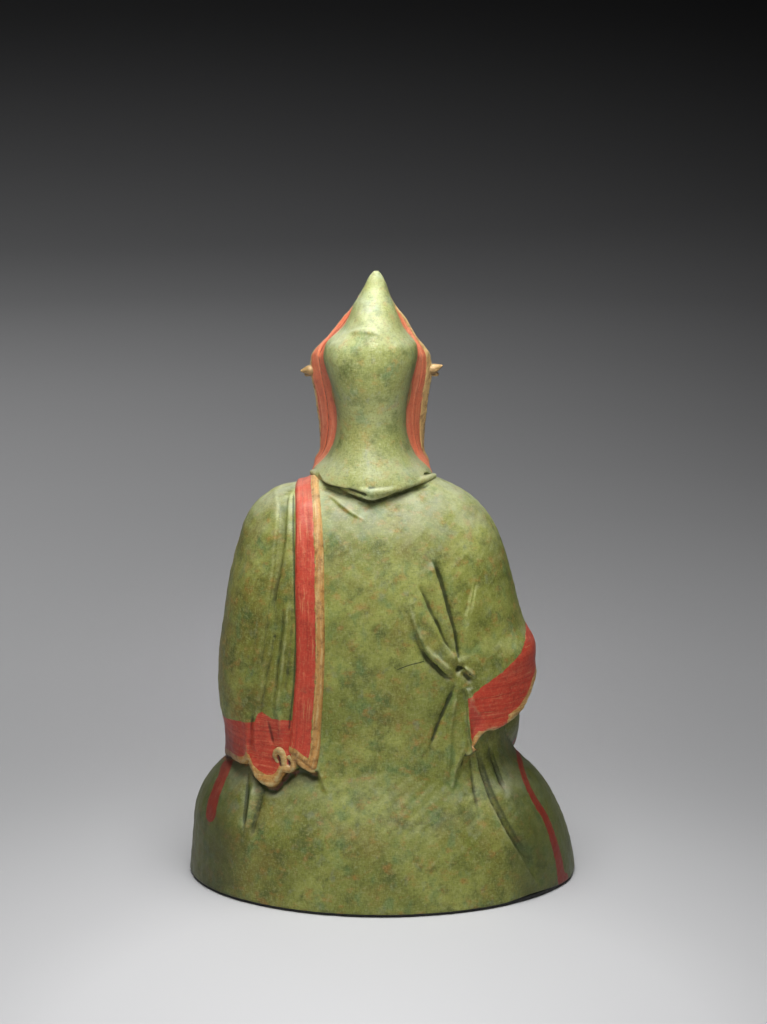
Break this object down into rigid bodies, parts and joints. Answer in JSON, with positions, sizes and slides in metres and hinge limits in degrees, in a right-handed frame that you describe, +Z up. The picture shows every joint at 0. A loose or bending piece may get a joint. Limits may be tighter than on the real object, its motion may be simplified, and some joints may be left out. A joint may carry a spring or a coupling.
{
  "type": "seated figure sculpture",
  "caption": "Painted carved figure of a monk seated cross-legged in a pointed hood and draped robe, with hands folded in the lap, on a flat base.",
  "frame": {"origin": "middle of the underside, at the bottom centre of the bounding box", "axes": "+Z up through the hood's tip, -Y the way the figure faces, +X towards the figure's own left"},
  "size_m": [0.2884, 0.2252, 0.45],
  "materials": {
    "figure": "painted and lacquered, satin"
  },
  "bodies": {
    "root": {"figure": "figure"}
  },
  "joints": []
}
